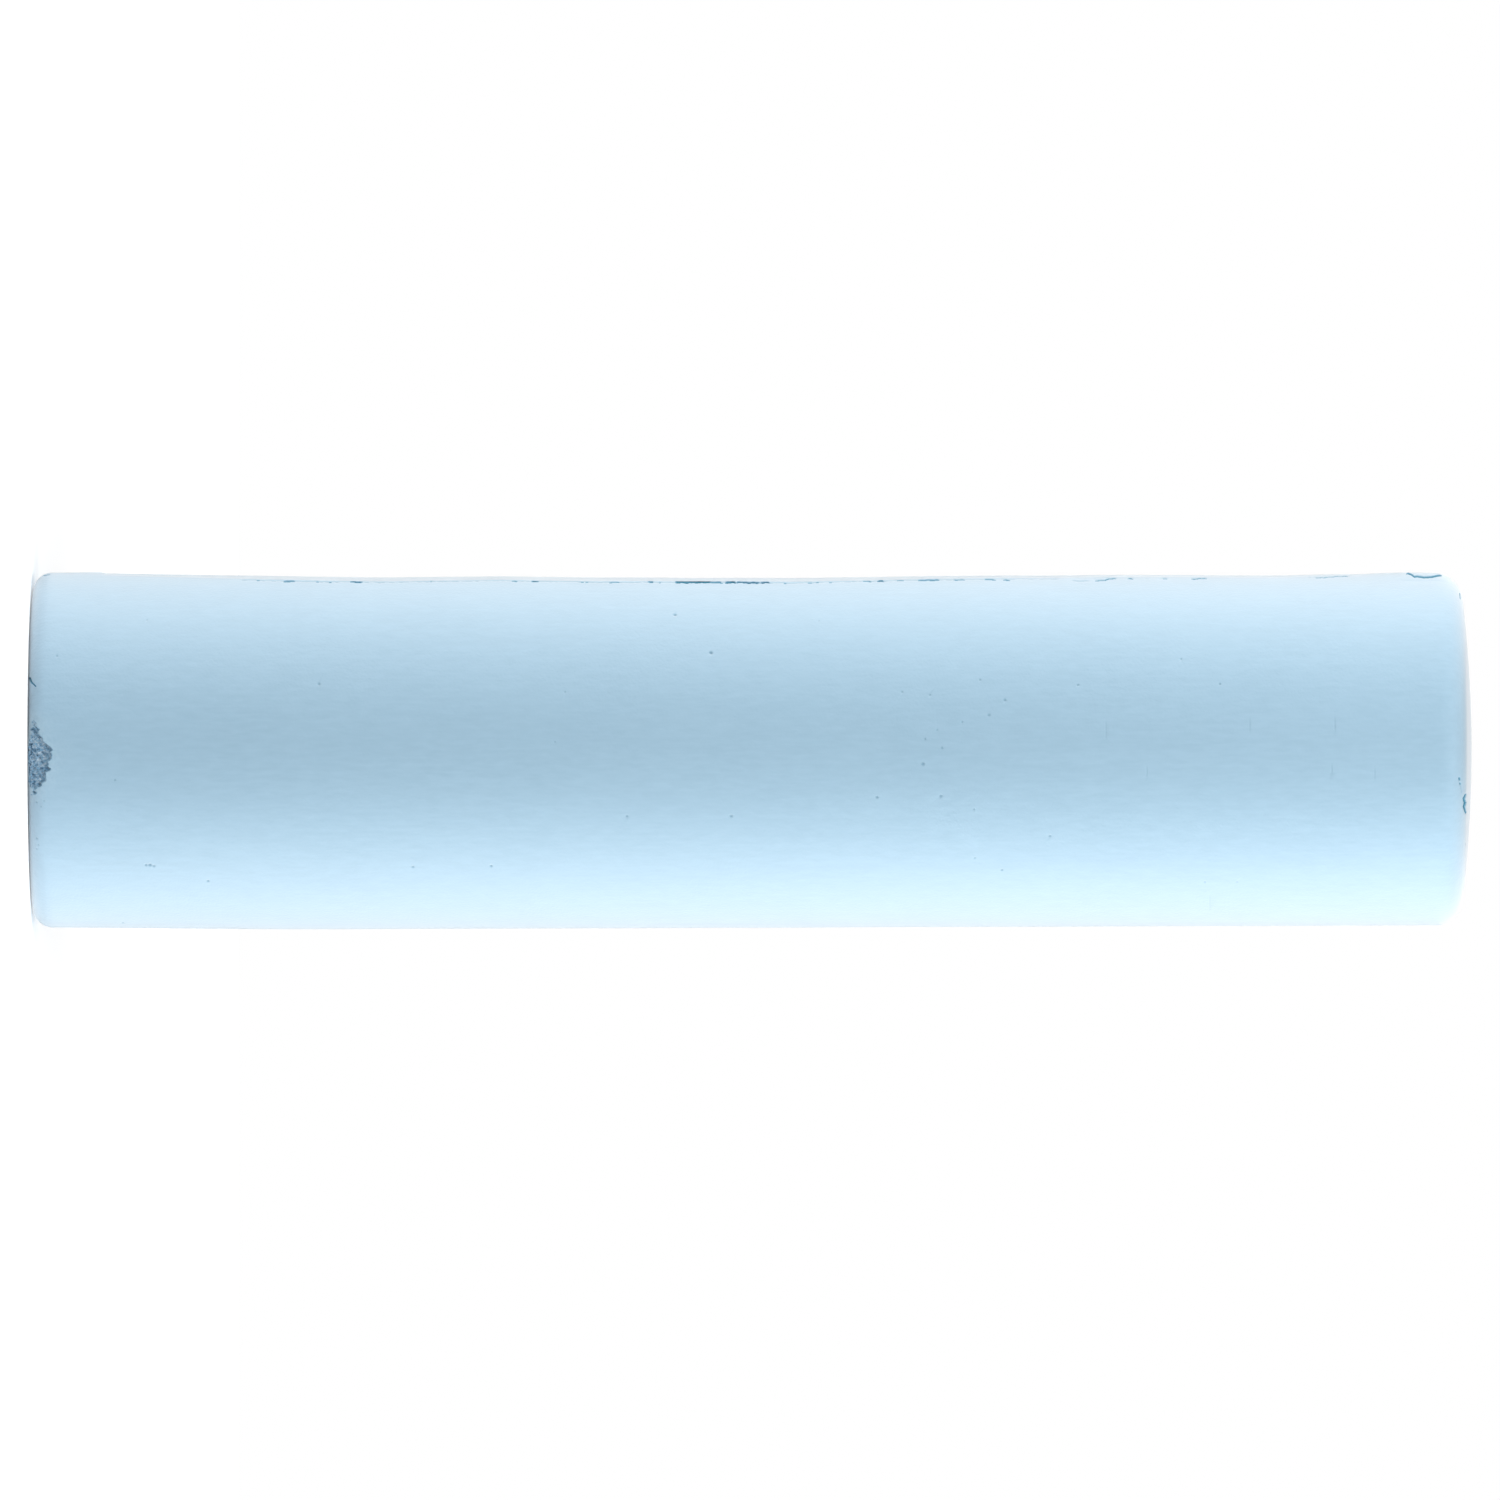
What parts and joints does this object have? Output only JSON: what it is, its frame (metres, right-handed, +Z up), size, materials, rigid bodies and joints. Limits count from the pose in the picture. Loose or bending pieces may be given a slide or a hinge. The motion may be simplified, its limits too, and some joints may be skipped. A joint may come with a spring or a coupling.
{
  "type": "chalk stick",
  "caption": "Thick round stick of moulded light-blue chalk, slightly tapered, with a flat foot, a faintly domed tip, a scraped mould seam and chipped rims.",
  "frame": {"origin": "centre of the flat foot that the stick stands on", "axes": "+Z up the stick from its foot to its domed tip, -X towards the scraped mould seam, -Y towards the chipped side of the foot"},
  "size_m": [0.0253, 0.0254, 0.1016],
  "materials": {
    "chalk": "matte"
  },
  "bodies": {
    "root": {"chalk_stick": "chalk"}
  },
  "joints": []
}
